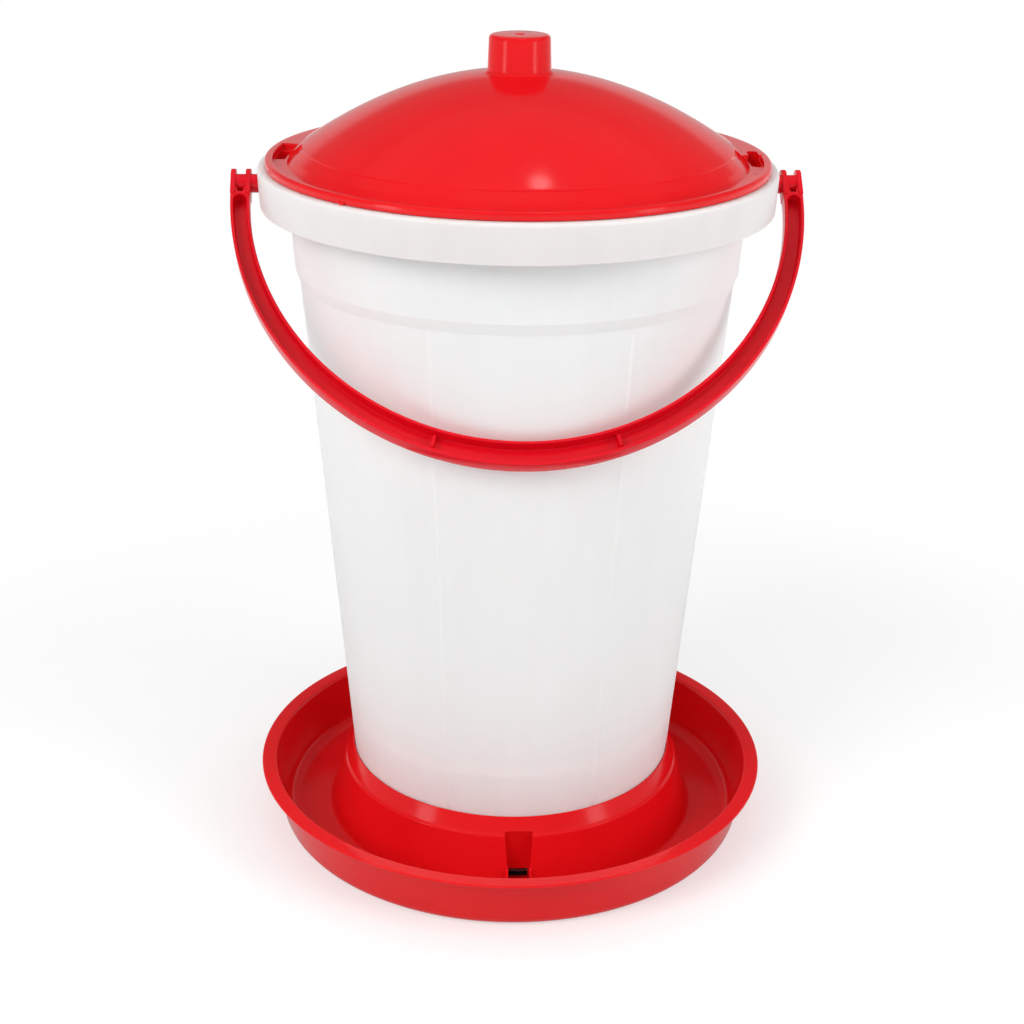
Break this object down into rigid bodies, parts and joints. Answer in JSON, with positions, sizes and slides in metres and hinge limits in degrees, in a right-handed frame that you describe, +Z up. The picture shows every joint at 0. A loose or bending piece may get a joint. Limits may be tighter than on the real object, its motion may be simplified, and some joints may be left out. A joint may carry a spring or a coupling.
{
  "type": "poultry drinker",
  "caption": "Bucket drinker for poultry: a tall translucent container with a red lid and bail, twist-locked in a red drinking tray.",
  "frame": {"origin": "middle of the tray's underside, on the ground", "axes": "+Z up along the bucket's axis, -Y towards the water notch, +X to the right as seen from the notch's side, along the handle's pins"},
  "size_m": [0.3638, 0.3568, 0.5448],
  "materials": {
    "red_plastic": "glossy",
    "milky_plastic": "satin, translucent",
    "black_rubber": "matte"
  },
  "bodies": {
    "tray": {"tray": "red_plastic"},
    "bucket": {"bucket": "milky_plastic", "outlet_seal": "black_rubber"},
    "lid": {"lid": "red_plastic", "lid_gasket": "black_rubber"},
    "handle": {"handle": "red_plastic"}
  },
  "joints": [
    {"name": "base_turn", "type": "hinge", "parent": "tray", "child": "bucket", "pos_m": [0, 0, 0.0045], "axis": [0, 0, 1], "range_deg": [0, 25]},
    {"name": "lid_turn", "type": "hinge", "parent": "bucket", "child": "lid", "pos_m": [0, 0, 0.4651], "axis": [0, 0, 1], "range_deg": [0, 12]},
    {"name": "handle_swing", "type": "hinge", "parent": "bucket", "child": "handle", "pos_m": [0, 0, 0.4515], "axis": [-1, 0, 0], "range_deg": [0, 264.5]}
  ]
}
